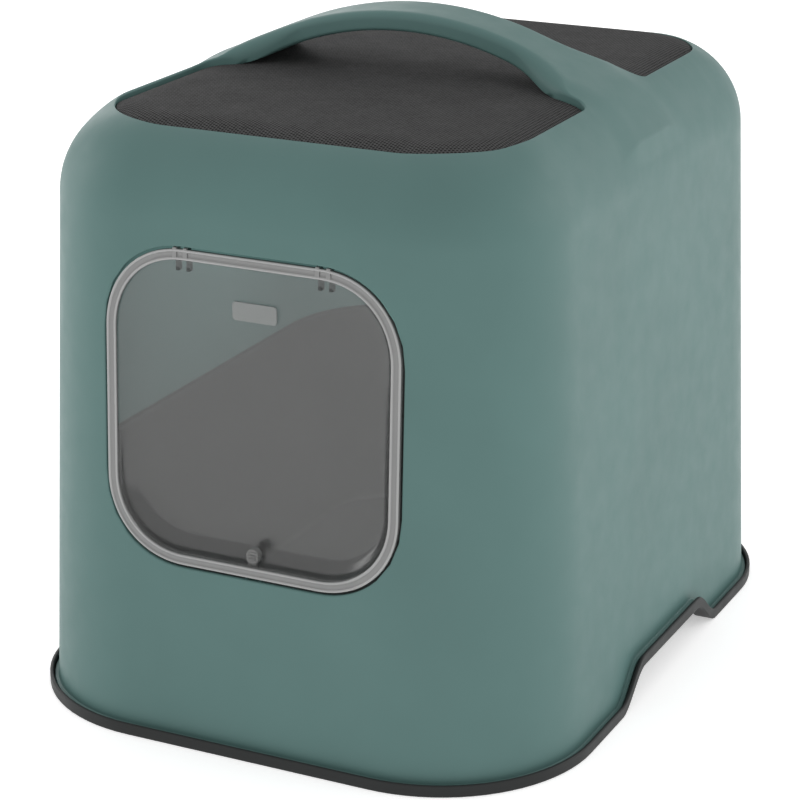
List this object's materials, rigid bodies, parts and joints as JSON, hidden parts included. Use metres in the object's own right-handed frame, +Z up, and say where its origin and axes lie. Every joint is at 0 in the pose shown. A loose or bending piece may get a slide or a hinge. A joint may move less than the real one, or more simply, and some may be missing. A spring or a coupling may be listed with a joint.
{
  "type": "hooded cat litter box",
  "caption": "Hooded cat litter box: deep tray, lift-off hood with arch handle, textured roof panel and a clear swing flap with a slide lock.",
  "frame": {"origin": "on the floor, at the middle of the tray's footprint", "axes": "+Z up, the flap faces -Y, so +Y runs from front to back and +X is to the right seen from the front"},
  "size_m": [0.392, 0.51, 0.4429],
  "materials": {
    "hood_green": "fine satin moulding grain, sage green",
    "tray_anthracite": "satin anthracite moulding",
    "panel_black": "fine honeycomb texture, matt black",
    "filter_carbon": "open carbon foam",
    "frame_grey": "light grey translucent plastic, two polished beads",
    "window_smoke": "clear smoked plastic",
    "pin_steel": "drawn wire"
  },
  "bodies": {
    "tray": {"litter_tray": "tray_anthracite"},
    "hood": {"hood_shell": "hood_green", "top_panel": "panel_black", "filter_pad": "filter_carbon", "hinge_pin_left": "pin_steel", "hinge_pin_right": "pin_steel"},
    "flap": {"flap_frame": "frame_grey", "flap_window": "window_smoke", "badge_plate": "frame_grey"},
    "latch": {"flap_latch": "frame_grey"}
  },
  "joints": [
    {"name": "hood_lift", "type": "slide", "parent": "tray", "child": "hood", "axis": [0, 0, 1], "range_m": [0, 0.18]},
    {"name": "flap_swing", "type": "hinge", "parent": "hood", "child": "flap", "pos_m": [0, -0.23261, 0.32661], "axis": [1, 0, 0], "range_deg": [-45, 80]},
    {"name": "latch_slide", "type": "slide", "parent": "flap", "child": "latch", "axis": [0, -0.0431, -0.9991], "range_m": [0, 0.0035]}
  ]
}
